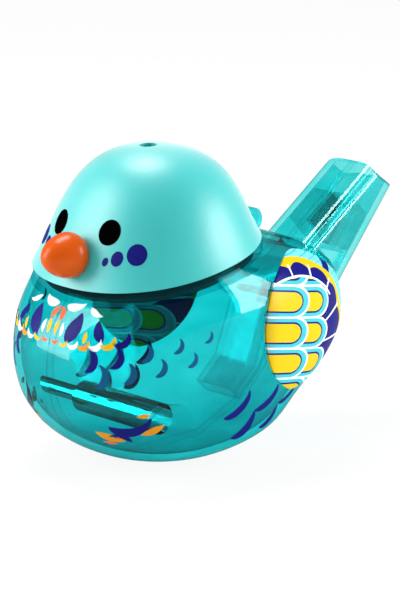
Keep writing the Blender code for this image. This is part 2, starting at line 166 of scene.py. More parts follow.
# The CAD's origin lies behind the rim's centre by this much
SHIFT_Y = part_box("beak")[0][1] + BEAK_TIP_REACH

# Camera, as fitted to the photograph, in millimetres and degrees
CAMERA_AZIMUTH = math.radians(46.4)
CAMERA_ELEVATION = math.radians(13.9)
CAMERA_DISTANCE = 0.6475
CAMERA_RIGHT = 0.011466
CAMERA_UP = 0.035532
PIXELS_PER_METRE = 4174.0
FRAME_HEIGHT_PIXELS = 600
SENSOR = 36.0


def linear(red, green, blue):
    """A linear colour from 8-bit sRGB values."""
    def channel(value):
        share = value / 255.0
        return share / 12.92 if share <= 0.04045 else ((share + 0.055) / 1.055) ** 2.4
    return channel(red), channel(green), channel(blue), 1.0


# Forms repeated from part.py

def bezier(points, t):
    """A point of a cubic Bezier curve."""
    p0, p1, p2, p3 = (np.array(point) for point in points)
    s = 1.0 - t
    return s ** 3 * p0 + 3 * s * s * t * p1 + 3 * s * t * t * p2 + t ** 3 * p3


def slopes(values):
    """Tangents through evenly spaced values that don't overshoot."""
    steps = np.diff(values)
    inner = [0.0 if a * b <= 0.0 else 2.0 * a * b / (a + b) for a, b in zip(steps, steps[1:])]
    first = 0.5 * (3.0 * steps[0] - steps[1])
    last = 0.5 * (3.0 * steps[-1] - steps[-2])
    return [first] + inner + [last]


def smooth(values, v):
    """A smooth curve through evenly spaced values, at 0 to 1 of its way."""
    tangents = slopes(values)
    place = v * (len(values) - 1)
    i = min(int(place), len(values) - 2)
    t = place - i
    return ((2 * t ** 3 - 3 * t * t + 1) * values[i] + (t ** 3 - 2 * t * t + t) * tangents[i]
            + (3 * t * t - 2 * t ** 3) * values[i + 1] + (t ** 3 - t * t) * tangents[i + 1])


def rim_point(share, drop=0.0, inset=0.0):
    """A point on the tilted rim's middle line: share -1 at the front, 1 at the back."""
    reach = share * (RIM_HALF_DEPTH - inset)
    y = RIM_SHIFT + reach * math.cos(RIM_TILT) + drop * math.sin(RIM_TILT)
    z = RIM_HEIGHT + reach * math.sin(RIM_TILT) - drop * math.cos(RIM_TILT)
    return y, z


def oval(front, back, half_width, squareness):
    """A ring of points round a slanted, slightly squared oval."""
    power = 2.0 + squareness
    ring = []
    for i in range(RING_SEGMENTS):
        angle = math.tau * (i + 0.5) / RING_SEGMENTS
        cos, sin = math.cos(angle), math.sin(angle)
        reach = (abs(cos) ** power + abs(sin) ** power) ** (-1.0 / power)
        share = 0.5 + 0.5 * reach * sin
        y = front[0] + (back[0] - front[0]) * share
        z = front[1] + (back[1] - front[1]) * share
        ring.append((half_width * reach * cos, y, z))
    return ring


def rim_ring(drop, inset=0.0):
    """The rim's outline, lowered and drawn in."""
    return oval(rim_point(-1.0, drop, inset), rim_point(1.0, drop, inset), RIM_HALF_WIDTH - inset,
                RIM_SQUARENESS)


def body_ring(v):
    """The body's outline at 0 to 1 of the way from its foot to its rim."""
    front_end, back_end = rim_point(-1.0, RIM_BAND), rim_point(1.0, RIM_BAND)
    heights = [level[0] for level in BODY_LEVELS] + [1.0]
    fronts = [-BODY_FRONT_REACH * level[1] for level in BODY_LEVELS] + [front_end[0]]
    backs = [BODY_REAR_REACH * level[2] for level in BODY_LEVELS] + [back_end[0]]
    widths = [BODY_HALF_WIDTH * level[3] for level in BODY_LEVELS] + [RIM_HALF_WIDTH]
    height = smooth(heights, v)
    front = (smooth(fronts, v), height * front_end[1])
    back = (smooth(backs, v), height * back_end[1])
    squareness = RIM_SQUARENESS * v + BODY_SQUARENESS * max(math.sin(math.pi * v), 0.0) ** 0.7
    return oval(front, back, smooth(widths, v), squareness)


def offset_rings(rings, distance):
    """The skin's rings moved along its normals."""
    grid = np.array(rings)
    along = np.gradient(grid, axis=0)
    around = np.roll(grid, -1, axis=1) - np.roll(grid, 1, axis=1)
    normal = np.cross(around, along)
    normal /= np.linalg.norm(normal, axis=2, keepdims=True)
    return [[tuple(point) for point in ring] for ring in grid + normal * distance]


def body_skin(offset=0.0):
    """All rings of the body's skin."""
    rings = [body_ring(i / BODY_RINGS) for i in range(BODY_RINGS + 1)]
    return offset_rings(rings, offset) if offset else rings


def head_ring(t):
    """The head's outline at 0 to 1 of the way from the rim to its top."""
    share, rise = bezier(HEAD_HANDLES, t)
    tilt = RIM_TILT * (1.0 - rise)
    centre_y = RIM_SHIFT + HEAD_SHIFT * rise
    centre_z = RIM_HEIGHT + HEAD_RISE * rise
    reach_y = share * RIM_HALF_DEPTH * math.cos(tilt)
    reach_z = share * RIM_HALF_DEPTH * math.sin(tilt)
    front = (centre_y - reach_y, centre_z - reach_z)
    back = (centre_y + reach_y, centre_z + reach_z)
    return oval(front, back, share * RIM_HALF_WIDTH, RIM_SQUARENESS * share)


def head_skin(offset=0.0):
    """All rings of the head's skin."""
    rings = [head_ring(HEAD_TOP_SHARE * i / HEAD_RINGS) for i in range(HEAD_RINGS + 1)]
    return offset_rings(rings, offset) if offset else rings


def lifted(rings, rise):
    """Rings raised along the rim's axis."""
    y, z = -rise * math.sin(RIM_TILT), rise * math.cos(RIM_TILT)
    return [[(p[0], p[1] + y, p[2] + z) for p in ring] for ring in rings]


def tail_frame(s, t):
    """Y and z of a place s along and t above the tail's slope."""
    cos, sin = math.cos(TAIL_SLOPE), math.sin(TAIL_SLOPE)
    return s * cos - t * sin, s * sin + t * cos


def tail_line(s, at_base, at_tip):
    """A straight line along the tail."""
    return at_base + (at_tip - at_base) * (s - TAIL_BASE) / (TAIL_TIP - TAIL_BASE)


def tail_top(s):
    """The height of the tail's upper side over its slope."""
    return tail_line(s, TAIL_TOP_AT_BASE, TAIL_TOP_AT_TIP)


def tail_bottom(s):
    """The height of the tail's underside over its slope."""
    return tail_line(s, TAIL_BOTTOM_AT_BASE, TAIL_BOTTOM_AT_TIP)


def rounded_box(half_width, low, high, corner):
    """A rounded rectangle with points along its two wide sides."""
    flat = half_width - corner
    corners = (
        (flat, high - corner, 0.0),
        (-flat, high - corner, 0.25),
        (-flat, low + corner, 0.5),
        (flat, low + corner, 0.75),
    )
    points = []
    for x, t, turn in corners:
        for step in range(CORNER_STEPS + 1):
            angle = math.tau * (turn + 0.25 * step / CORNER_STEPS)
            points.append((x + corner * math.cos(angle), t + corner * math.sin(angle)))
        if turn in (0.0, 0.5):
            side = high if turn == 0.0 else low
            for step in range(1, SIDE_STEPS):
                points.append((x * (1.0 - 2.0 * step / SIDE_STEPS), side))
    return points


def tail_ring(s, inset, bulge=0.0):
    """The tail's section, or its bulged and slanted end."""
    outline = rounded_box(TAIL_HALF_WIDTH - inset, tail_bottom(s) + inset, tail_top(s) - inset,
                          TAIL_CORNER - inset)
    ring = []
    for x, t in outline:
        out = s
        if bulge:
            out += bulge * (1.0 - (x / TAIL_HALF_WIDTH) ** 4) + TAIL_TIP_SLANT * (tail_top(s) - t)
        ring.append((x, *tail_frame(out, t)))
    return ring


# Mesh helpers

def loft(rings, end="cap"):
    """A solid through rings of equal count, whose last ring gets a cap, strips across it, or stays open."""
    bm = bmesh.new()
    rows = [[bm.verts.new(point) for point in ring] for ring in rings]
    count = len(rows[0])
    for low, high in zip(rows, rows[1:]):
        for i in range(count):
            j = (i + 1) % count
            bm.faces.new((low[i], low[j], high[j], high[i]))
    bm.faces.new(rows[0])
    last = rows[-1]
    if end == "cap":
        bm.faces.new(last)
    elif end == "strips":
        for i in range(count // 2 - 1):
            bm.faces.new((last[i], last[i + 1], last[count - 2 - i], last[count - 1 - i]))
    return bm


def prism(outline, low_x, high_x):
    """A straight solid between two x over an outline in y and z."""
    return loft([[(x, y, z) for y, z in outline] for x in (low_x, high_x)])


def turned(profile, place, direction):
    """A solid of revolution from (along, radius) pairs."""
    side = (0.0, 0.0, 1.0) if direction[2] == 0.0 else (0.0, 1.0, 0.0)
    axis = np.array(direction)
    across = np.cross(axis, side)
    other = np.cross(axis, across)
    rings = []
    for along, radius in profile:
        centre = np.array(place) + axis * along
        rings.append([
            tuple(centre + radius * (across * math.cos(a) + other * math.sin(a)))
            for a in (math.tau * i / ROUND_SEGMENTS for i in range(ROUND_SEGMENTS))
        ])
    return loft(rings)


def put(name, bm):
    """A new object from a bmesh in the bird's own frame."""
    bmesh.ops.recalc_face_normals(bm, faces=bm.faces)
    mesh = bpy.data.meshes.new(name)
    bm.to_mesh(mesh)
    bm.free()
    item = bpy.data.objects.new(name, mesh)
    bpy.context.scene.collection.objects.link(item)
    return item


def combine(item, steps):
    """Apply Booleans (operation, tool) to an object; the cut_ tools are deleted after the build."""
    for operation, tool in steps:
        change = item.modifiers.new(tool.name, "BOOLEAN")
        change.operation = operation
        change.solver = "EXACT"
        change.object = tool
    graph = bpy.context.evaluated_depsgraph_get()
    done = bpy.data.meshes.new_from_object(item.evaluated_get(graph))
    item.modifiers.clear()
    item.data = done


def finished(item, finish, body, nodes=(), angle=35.0):
    """Give the piece its finish and smooth shading, shift it into the CAD's frame, join it to its body and
    hide the CAD nodes that it stands for.
    """
    mesh = item.data
    mesh.transform(Matrix.Translation((0.0, SHIFT_Y, 0.0)))
    mesh.materials.clear()
    mesh.materials.append(finish)
    mesh.shade_smooth()
    if angle:
        mesh.set_sharp_from_angle(angle=math.radians(angle))
    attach(item, body)
    if nodes:
        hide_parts(*nodes)
    return item


def skin_tree(rings):
    """A search tree over a lofted skin, with its normals outward."""
    bm = loft(rings)
    bmesh.ops.recalc_face_normals(bm, faces=bm.faces)
    bmesh.ops.triangulate(bm, faces=bm.faces)
    tree = BVHTree.FromBMesh(bm)
    bm.free()
    return tree


# Materials

CLEAR_INDEX_SQUARED = 2.22
CLEAR_WAVE_SCALE = 95.0
CLEAR_WAVE_DEPTH = 0.00003
STREAK_TURN = (0.6, 0.2, 0.4)
STREAK_SCALE = (26.0, 60.0, 110.0)
FOOT_HEIGHT = 0.022
FOOT_DEPTH = 1.35
CLOUD_SCALE = 60.0
PRINT_GRAIN = 900.0
PRINT_GRAIN_DEPTH = 0.00002


class Nodes:
    """A short way to write node trees."""

    def __init__(self, tree):
        self.tree = tree

    def add(self, kind, **values):
        """A new node with these properties."""
        node = self.tree.nodes.new(kind)
        for key, value in values.items():
            setattr(node, key, value)
        return node

    def link(self, source, target):
        """A link from an output to an input."""
        self.tree.links.new(source, target)

    def value(self, operation, first, second=None):
        """A Math node on numbers or sockets."""
        node = self.add("ShaderNodeMath", operation=operation)
        for socket, given in zip(node.inputs, (first, second)):
            if given is None:
                continue
            if isinstance(given, (int, float)):
                socket.default_value = given
            else:
                self.link(given, socket)
        return node.outputs[0]

    def mix(self, factor, first, second):
        """A colour between the first and the second by the factor."""
        node = self.add("ShaderNodeMix", data_type="RGBA")
        for socket, given in zip((node.inputs[0], node.inputs[6], node.inputs[7]), (factor, first, second)):
            if isinstance(given, (int, float, tuple)):
                socket.default_value = given
            else:
                self.link(given, socket)
        return node.outputs[2]

    def ramp(self, source, low, high, at_low, at_high):
        """A smooth step from one value to another between two limits of the source."""
        node = self.add("ShaderNodeMapRange", interpolation_type="SMOOTHSTEP")
        for socket, given in zip(node.inputs[1:5], (low, high, at_low, at_high)):
            socket.default_value = given
        self.link(source, node.inputs[0])
        return node.outputs[0]

    def noise(self, scale):
        """Soft noise fixed to the object."""
        place = self.add("ShaderNodeTexCoord")
        node = self.add("ShaderNodeTexNoise")
        node.inputs["Scale"].default_value = scale
        self.link(place.outputs["Object"], node.inputs["Vector"])
        return node.outputs["Fac"]

    def bump(self, height, distance):
        """A normal disturbed by a height."""
        node = self.add("ShaderNodeBump")
        node.inputs["Distance"].default_value = distance
        self.link(height, node.inputs["Height"])
        return node.outputs["Normal"]


def new_material(name):
    """A material, a writer for its nodes, and its shader."""
    made = bpy.data.materials.new(name)
    made.use_nodes = True
    shader = made.node_tree.nodes["Principled BSDF"]
    return made, Nodes(made.node_tree), shader


def gloss_share(nodes, face, strength):
    """Schlick's Fresnel share from the facing value, times a strength."""
    steep = nodes.value("POWER", face, 5.0)
    return nodes.value("MULTIPLY", nodes.value("ADD", nodes.value("MULTIPLY", steep, 0.96), 0.04), strength)


def clear_wall(name, tint, cloud, edge=0.0, shine=1.0, seam_half=0.00018, seam_depth=5.5,
               gloss_tint=(0.80, 1.0, 1.0, 1.0)):
    """A clear wall that light crosses straight, taking colour with the way it travels in it.

    cloud is how much the tint's streaks vary, edge deepens it where the wall is seen edge on, shine
    scales the gloss, and the line at the seam is 2 * seam_half wide and seam_depth deep.
    """
    made, nodes, principled = new_material(name)
    made.node_tree.nodes.remove(principled)
    weight = nodes.add("ShaderNodeLayerWeight")
    weight.inputs["Blend"].default_value = 0.5
    face = weight.outputs["Facing"]
    cosine = nodes.value("SUBTRACT", 1.0, face)
    sine_squared = nodes.value("SUBTRACT", 1.0, nodes.value("MULTIPLY", cosine, cosine))
    slant = nodes.value("DIVIDE", sine_squared, CLEAR_INDEX_SQUARED)
    way = nodes.value("DIVIDE", 1.0, nodes.value("SQRT", nodes.value("SUBTRACT", 1.0, slant)))
    steep = nodes.value("MULTIPLY", nodes.value("POWER", face, 4.0), edge)
    way = nodes.value("ADD", nodes.value("MULTIPLY", way, way), steep)

    place = nodes.add("ShaderNodeTexCoord")
    stretch = nodes.add("ShaderNodeMapping")
    stretch.inputs["Rotation"].default_value = STREAK_TURN
    stretch.inputs["Scale"].default_value = STREAK_SCALE
    nodes.link(place.outputs["Object"], stretch.inputs["Vector"])
    streaks = nodes.add("ShaderNodeTexNoise")
    streaks.inputs["Scale"].default_value = 1.0
    streaks.inputs["Detail"].default_value = 3.0
    streaks.inputs["Distortion"].default_value = 0.6
    nodes.link(stretch.outputs[0], streaks.inputs["Vector"])
    varied = nodes.value("MULTIPLY", streaks.outputs["Fac"], 2.0 * cloud)
    way = nodes.value("MULTIPLY", way, nodes.value("ADD", varied, 1.0 - cloud))

    split = nodes.add("ShaderNodeSeparateXYZ")
    nodes.link(place.outputs["Object"], split.inputs[0])
    foot = nodes.ramp(split.outputs[2], 0.0, FOOT_HEIGHT, FOOT_DEPTH, 1.0)
    way = nodes.value("MULTIPLY", way, foot)
    seam = nodes.value("LESS_THAN", nodes.value("ABSOLUTE", split.outputs[0]), seam_half)
    way = nodes.value("ADD", way, nodes.value("MULTIPLY", seam, seam_depth))

    deepen = nodes.add("ShaderNodeGamma")
    deepen.inputs["Color"].default_value = tint
    nodes.link(way, deepen.inputs["Gamma"])
    through = nodes.add("ShaderNodeBsdfTransparent")
    nodes.link(deepen.outputs[0], through.inputs["Color"])
    gloss = nodes.add("ShaderNodeBsdfGlossy")
    gloss.inputs["Color"].default_value = gloss_tint
    gloss.inputs["Roughness"].default_value = 0.03
    nodes.link(nodes.bump(nodes.noise(CLEAR_WAVE_SCALE), CLEAR_WAVE_DEPTH), gloss.inputs["Normal"])
    blend = nodes.add("ShaderNodeMixShader")
    nodes.link(gloss_share(nodes, face, shine), blend.inputs[0])
    nodes.link(through.outputs[0], blend.inputs[1])
    nodes.link(gloss.outputs[0], blend.inputs[2])
    nodes.link(blend.outputs[0], made.node_tree.nodes["Material Output"].inputs["Surface"])
    return made


def paint(name, colour, roughness, deep=0.9, coat=0.0, shine=0.5, sheen=0.0):
    """An opaque moulded or printed colour, clouded down to a share of itself, with fine grain."""
    made, nodes, shader = new_material(name)
    darker = tuple(deep * part for part in colour[:3]) + (1.0,)
    nodes.link(nodes.mix(nodes.noise(CLOUD_SCALE), darker, colour), shader.inputs["Base Color"])
    shader.inputs["Roughness"].default_value = roughness
    shader.inputs["Specular IOR Level"].default_value = shine
    shader.inputs["Coat Weight"].default_value = coat
    shader.inputs["Coat Roughness"].default_value = 0.12
    shader.inputs["Sheen Weight"].default_value = sheen
    shader.inputs["Sheen Roughness"].default_value = 0.4
    nodes.link(nodes.bump(nodes.noise(PRINT_GRAIN), PRINT_GRAIN_DEPTH), shader.inputs["Normal"])
    return made


TURQUOISE = linear(34, 190, 188)
ORANGE = linear(218, 86, 0)
NAVY = linear(16, 18, 116)
DEEP_TEAL = linear(6, 84, 128)
WHITE = linear(244, 247, 246)
YELLOW = linear(222, 187, 8)
TEAL_BAND = linear(66, 186, 196)
SKY = linear(120, 222, 232)
SKY_DASH = linear(60, 180, 214)
AMBER = linear(224, 146, 14)
CORAL = linear(240, 104, 60)
BLACK = linear(3, 3, 4)

clear_teal = clear_wall("clear_teal", (0.27, 0.89, 0.90, 1.0), 0.85, edge=0.1, shine=0.72)
# The rim band has a deeper tint than the rest of the wall, as painted shade below the head's edge.
clear_rim_painted_shade = clear_wall("clear_teal_rim_painted_shade", (0.14, 0.70, 0.72, 1.0), 0.20, shine=0.2)
clear_tail = clear_wall("clear_teal_tail", (0.58, 0.95, 0.95, 1.0), 0.90, edge=2.5, shine=1.3)
clear_boss = clear_wall("clear_teal_boss", (0.56, 0.91, 0.92, 1.0), 0.30, edge=12.0, shine=15.0,
                        gloss_tint=(1.0, 0.6, 0.6, 1.0))
clear_block = clear_wall("clear_teal_block", (0.66, 0.95, 0.95, 1.0), 0.60, edge=3.0, shine=1.3,
                         seam_half=0.00065, seam_depth=9.0)
clear_duct = clear_wall("clear_teal_duct", (0.74, 0.955, 0.96, 1.0), 0.30, edge=2.5, seam_depth=0.0)
clear_seam = clear_wall("clear_teal_seam", (0.86, 0.985, 0.985, 1.0), 0.1, shine=0.05, seam_depth=0.0)
# The collar's dark teal is painted shade: it stands for the shade under the head's edge.
painted_collar_shade = paint("collar_painted_shade", linear(4, 84, 88), 0.5, shine=0.0)
head_paint = paint("turquoise_satin", TURQUOISE, 0.42, deep=0.94, shine=1.0, sheen=0.85)
beak_paint = paint("orange_gloss", ORANGE, 0.30, deep=0.86, coat=0.06, shine=0.22)
prints = {
    "navy": paint("print_navy", NAVY, 0.45, shine=0.12),
    "deep": paint("print_deep_teal", DEEP_TEAL, 0.45, shine=0.12),
    "white": paint("print_white", WHITE, 0.45, shine=0.2),
    "yellow": paint("print_yellow", YELLOW, 0.45, shine=0.2),
    "amber": paint("print_amber", AMBER, 0.45, shine=0.2),
    "coral": paint("print_coral", CORAL, 0.45, shine=0.2),
    "black": paint("print_black", BLACK, 0.6, deep=0.6, shine=0.0),
}


# Solids

def make_body():
    """The two halves of the clear body."""
    wall = BODY_HALF_WIDTH
    cavity_rings = body_skin(-BODY_WALL)[:-1]
    cavity_rings += [rim_ring(RIM_BAND, RIM_WALL), rim_ring(-RIM_BAND, RIM_WALL)]
    cavity = put("cut_cavity", loft(cavity_rings))
    tail_ends = [tail_ring(TAIL_ROOT, 0.0), tail_ring(TAIL_TIP, 0.0, TAIL_TIP_BULGE)]
    tail = put("cut_tail", loft(tail_ends, end="strips"))
    bore_ends = (TAIL_ROOT - TAIL_WALL, TAIL_TIP + 2 * TAIL_TIP_BULGE)
    bore = put("cut_bore", loft([tail_ring(s, TAIL_WALL) for s in bore_ends]))
    jet_end = TAIL_TIP - BLOCK_POCKET - BLOCK_LENGTH
    edge = jet_end - WINDOW_LENGTH
    through, outside = WINDOW_CUT * TAIL_WALL, 0.5 * TAIL_WALL
    ramp_end = edge - LABIUM_RAMP * (through + outside) / through
    corners = (
        (jet_end, tail_bottom(jet_end) - outside),
        (jet_end, tail_bottom(jet_end) + through),
        (edge, tail_bottom(edge) + through),
        (ramp_end, tail_bottom(ramp_end) - outside),
    )
    window = put("cut_window", prism([tail_frame(s, t) for s, t in corners],
                                     -0.5 * WINDWAY_WIDTH, 0.5 * WINDWAY_WIDTH))
    place = (0.0, EYELET_BACK, EYELET_HEIGHT)
    tab = put("cut_tab", turned(((-EYELET_HALF_THICKNESS, EYELET_RADIUS),
                                 (EYELET_HALF_THICKNESS, EYELET_RADIUS)), place, (1.0, 0.0, 0.0)))
    hole = put("cut_hole", turned(((-FAR, EYELET_HOLE_RADIUS), (FAR, EYELET_HOLE_RADIUS)),
                                  place, (1.0, 0.0, 0.0)))
    join = (0.0, -JOIN_FORWARD, JOIN_HEIGHT)
    flare_end = wall - BOSS_FLARE_LENGTH * 0.5
    flare_start = flare_end - BOSS_FLARE_LENGTH - BOSS_FLARE
    flare = []
    for i in range(FLARE_STEPS + 1):
        share = i / FLARE_STEPS
        flare.append((flare_start + (flare_end - flare_start) * share,
                      BOSS_RADIUS + BOSS_FLARE * share * share))
    boss_profile = [(-BOSS_PAST_SEAM, BOSS_RADIUS)] + flare + [(wall, BOSS_RADIUS + BOSS_FLARE)]
    boss = put("cut_boss", turned(boss_profile, join, (1.0, 0.0, 0.0)))
    socket_end = PIN_LENGTH_PAST_SEAM + 4 * PIN_CLEARANCE
    socket = put("cut_socket", turned(((-FAR, PIN_RADIUS + PIN_CLEARANCE),
                                       (socket_end, PIN_RADIUS + PIN_CLEARANCE)), join, (1.0, 0.0, 0.0)))
    pin = put("cut_pin", turned(((-wall, PIN_RADIUS), (PIN_LENGTH_PAST_SEAM, PIN_RADIUS)),
                                join, (1.0, 0.0, 0.0)))
    limit = put("cut_limit", loft(body_skin(-0.5 * BODY_WALL)))
    combine(boss, [("INTERSECT", limit)])
    combine(pin, [("INTERSECT", limit)])
    reach = ((-FAR, -FAR), (FAR, -FAR), (FAR, FAR), (-FAR, FAR))
    shells = []
    for name, sign, extra in (
        ("shell_left", 1.0, [("UNION", boss), ("DIFFERENCE", socket)]),
        ("shell_right", -1.0, [("UNION", pin)]),
    ):
        half_space = put(f"cut_half_{name}", prism(reach, sign * 0.5 * SEAM_GAP, sign * FAR))
        shell = put(name, loft(body_skin() + [rim_ring(0.0)]))
        combine(shell, [("UNION", tail), ("UNION", tab), ("DIFFERENCE", cavity), ("DIFFERENCE", bore),
                        ("DIFFERENCE", window), ("DIFFERENCE", hole), ("INTERSECT", half_space)] + extra)
        shells.append(shell)
    return shells


def make_head():
    """The head cap with its plug collar and vent."""
    rim_inset = RIM_WALL + COLLAR_CLEARANCE
    bore_inset = rim_inset + COLLAR_WALL
    head = put("head_dome", loft(lifted(head_skin(), HEAD_SEAT_GAP)))
    collar = put("cut_collar", loft([rim_ring(COLLAR_DEPTH, rim_inset),
                                     rim_ring(-0.5 * HEAD_FLANGE, rim_inset)]))
    bore = [rim_ring(2 * COLLAR_DEPTH, bore_inset), rim_ring(-HEAD_FLANGE, bore_inset)]
    hollow = put("cut_hollow", loft(bore + head_skin(-HEAD_WALL)[1:]))
    vent_place = (0.0, -VENT_FORWARD, RIM_HEIGHT + HEAD_RISE)
    vent = put("cut_vent", turned(((-0.5 * HEAD_RISE, VENT_RADIUS), (HEAD_RISE, VENT_RADIUS)),
                                  vent_place, (0.0, 0.0, 1.0)))
    combine(head, [("UNION", collar), ("DIFFERENCE", hollow), ("DIFFERENCE", vent)])
    return head


def make_beak():
    """The beak, cut to the head's skin."""
    profile = [tuple(bezier(BEAK_NOSE, i / BEAK_NOSE_STEPS)) for i in range(BEAK_NOSE_STEPS + 1)]
    profile += [tuple(bezier(BEAK_BACK, i / BEAK_BACK_STEPS)) for i in range(1, BEAK_BACK_STEPS + 1)]
    profile.append(((BEAK_CONE + BEAK_ROOT) / BEAK_CONE, BEAK_BACK[-1][1]))
    profile = [(along * BEAK_CONE, radius * BEAK_BULGE) for along, radius in profile]
    beak = put("beak_cone", turned(profile, (0.0, -BEAK_TIP_REACH, BEAK_HEIGHT), (0.0, 1.0, 0.0)))
    seat = put("cut_seat", loft(body_skin(SEAT_GAP) + lifted(head_skin(SEAT_GAP), HEAD_SEAT_GAP)))
    combine(beak, [("DIFFERENCE", seat)])
    return beak


# Prints

PRINT_LIFT = 0.00004
OVAL_STEPS = 28
OVAL_LAYERS = 7
RIBBON_STEPS = 20
RIBBON_LAYERS = 4
RIBBON_TIP = 0.00001

# Eyes and cheek dots: colour, place, half length, half width and turn
FACE_SHIFT = 0.0009
FACE_MARKS = (
    ("black", (0.0086, -0.0196, 0.0570), 0.0031, 0.0029, 1.2),
    ("navy", (0.0098, -0.0222, 0.0508), 0.00105, 0.00078, 1.3),
    ("navy", (0.0124, -0.0209, 0.0517), 0.00180, 0.00150, 1.3),
    ("navy", (0.0163, -0.0184, 0.0529), 0.00255, 0.00240, 1.3),
)

# Leaves, drops and a low sprig: colour, angle round the body from the front, share of its height,
# turn, length, width, bend and fullness
LEAVES = (
    ("navy", 0.22, 0.905, 1.25, 0.0082, 0.0040, 0.8, 0.42),
    ("navy", 0.43, 0.900, 1.9, 0.0056, 0.0026, -0.8, 0.42),
    ("white", 0.15, 0.972, 0.25, 0.0058, 0.0021, 1.3, 0.4),
    ("white", 0.36, 0.960, 2.7, 0.0044, 0.0015, -1.2, 0.6),
    ("coral", 0.045, 0.945, 1.9, 0.0040, 0.0016, 1.1, 0.5),
    ("yellow", 0.040, 0.895, 1.5, 0.0038, 0.0013, -0.5, 0.5),
    ("white", 0.105, 0.890, 1.6, 0.0034, 0.0011, 0.6, 0.5),
    ("yellow", 0.335, 0.875, 1.4, 0.0030, 0.0012, 0.5, 0.5),
)
SPRIG = (
    ("navy", 0.70, 0.470, 0.30, 0.0125, 0.0030, 1.9, 0.4),
    ("navy", 0.60, 0.440, -0.30, 0.0062, 0.0018, -1.6, 0.5),
    ("amber", 0.50, 0.430, -0.35, 0.0075, 0.0027, 0.4, 0.5),
    ("amber", 0.84, 0.470, 0.5, 0.0060, 0.00216, 0.4, 0.5),
    ("amber", 0.78, 0.550, 0.1, 0.0034, 0.001224, 0.4, 0.5),
    ("coral", 0.47, 0.390, -0.1, 0.0036, 0.0010, 0.3, 0.5),
)
GARLAND = ("coral", "yellow", "white", "amber", "white", "yellow", "navy")
HOOK_ROWS = 2
HOOKS_IN_FIRST_ROW = 5

# Crescents low at the back: angle, share of the height and length
BACK_CRESCENTS = (
    (1.50, 0.490, 0.0108),
    (1.78, 0.480, 0.0100),
    (2.03, 0.465, 0.0085),
    (1.66, 0.360, 0.0105),
    (1.95, 0.360, 0.0085),
)

# The wing's print, in millimetres of the bird's own y and z. Shares of the border's oval run outward:
# scales, a white arc, navy quills, a yellow band and a dashed sky-blue band.
BORDER_CENTRE = (17.0, 27.0)
BORDER_RADII = (22.0, 21.3)
BORDER_POWER = 2.2
ARC_START = 0.800
ARC_END = 0.822
ARC_LOW_END = 9.0
QUILL_STEP = math.radians(22.0)
QUILL_START = 20.05
QUILL_ROUNDING = 0.22
QUILL_END = 0.945
QUILL_LINE_PHASE = 0.462
QUILL_LINE_END = 0.935
SKY_START = 0.998
OUTER_QUILL_SHARE = 0.14
SCALE_ORIGIN = (7.0, 33.0)
SCALE_SLOPE = math.radians(10.5)
SCALE_START = 3.8
SCALE_PITCH = 7.4
SCALE_REACH = 15.3
SCALE_REACH_LEAN = -0.25
SCALE_REACH_BEND = 0.015
SCALE_COLUMNS = (8.6, 0.0)
SCALE_SIDE_POWER = 2.1
# Nested forms of one scale: colour, half height, how much shorter than the scale, and rounding
SCALE_SHAPES = (
    (WHITE, 4.00, 0.0, 6.0),
    (TEAL_BAND, 3.46, 0.60, 5.4),
    (NAVY, 2.64, 2.5, 3.7),
    (YELLOW, 2.20, 2.95, 3.3),
)
# Painted shade on the wing's front edge: the y in millimetres where it is strongest and where it ends, its
# share at each, and its colour
FRONT_PAINTED_SHADE = (6.5, 12.5, 0.45, 0.0)
FRONT_PAINTED_SHADE_COLOUR = linear(96, 70, 20)

body_tree = skin_tree(body_skin() + [rim_ring(0.0)])
head_tree = skin_tree(lifted(head_skin(), HEAD_SEAT_GAP))


def on_skin(tree, point, lift):
    """The nearest place on a skin, lifted off it, and the normal there."""
    place, normal, _, _ = tree.find_nearest(Vector(point))
    return place + normal * lift, normal


def chart(tree, centre, turn):
    """A flat chart touching the skin at the point nearest the centre: along, across and out."""
    place, out = on_skin(tree, centre, 0.0)
    level = Vector((0.0, 0.0, 1.0)).cross(out).normalized()
    up = out.cross(level)
    along = level * math.cos(turn) + up * math.sin(turn)
    across = out.cross(along)
    return place, along, across


def grid_on_skin(bm, tree, centre, turn, rows):
    """Add a sheet whose rows of (along, across) points are laid on the skin."""
    place, along, across = chart(tree, centre, turn)
    made = []
    for row in rows:
        verts = []
        for a, b in row:
            point, _ = on_skin(tree, place + along * a + across * b, PRINT_LIFT)
            verts.append(bm.verts.new(point))
        made.append(verts)
    for low, high in zip(made, made[1:]):
        for i in range(len(low) - 1):
            bm.faces.new((low[i], low[i + 1], high[i + 1], high[i]))


def ellipse_rows(half_long, half_wide):
    """Rows of an oval as a fan of nested rings, the smallest almost a point."""
    turns = [math.tau * i / OVAL_STEPS for i in range(OVAL_STEPS + 1)]
    rows = []
    for layer in range(OVAL_LAYERS + 1):
        share = 0.001 + 0.999 * layer / OVAL_LAYERS
        rows.append([(half_long * share * math.cos(a), half_wide * share * math.sin(a)) for a in turns])
    return rows


def ribbon_rows(length, width, bend, fullness):
    """Rows of a leaf, drop or crescent: a bent centre line whose width swells and closes.

    bend is how far the line turns, in radians, and fullness is where along it the ribbon is widest.
    """
    skew = math.log(0.5) / math.log(fullness)
    radius = length / bend
    rows = []
    for i in range(RIBBON_STEPS + 1):
        t = i / RIBBON_STEPS
        angle = bend * (t - 0.5)
        a, b = radius * math.sin(angle), radius * (1.0 - math.cos(angle))
        half = max(0.5 * width * math.sin(math.pi * t ** skew) ** 0.8, RIBBON_TIP)
        rows.append([(a - math.sin(angle) * half * k, b + math.cos(angle) * half * k)
                     for k in (2.0 * j / RIBBON_LAYERS - 1.0 for j in range(RIBBON_LAYERS + 1))])
    return rows


def sheet_piece(name, bm, finish, body):
    """A finished print."""
    item = put(name, bm)
    return finished(item, finish, body, angle=0.0)


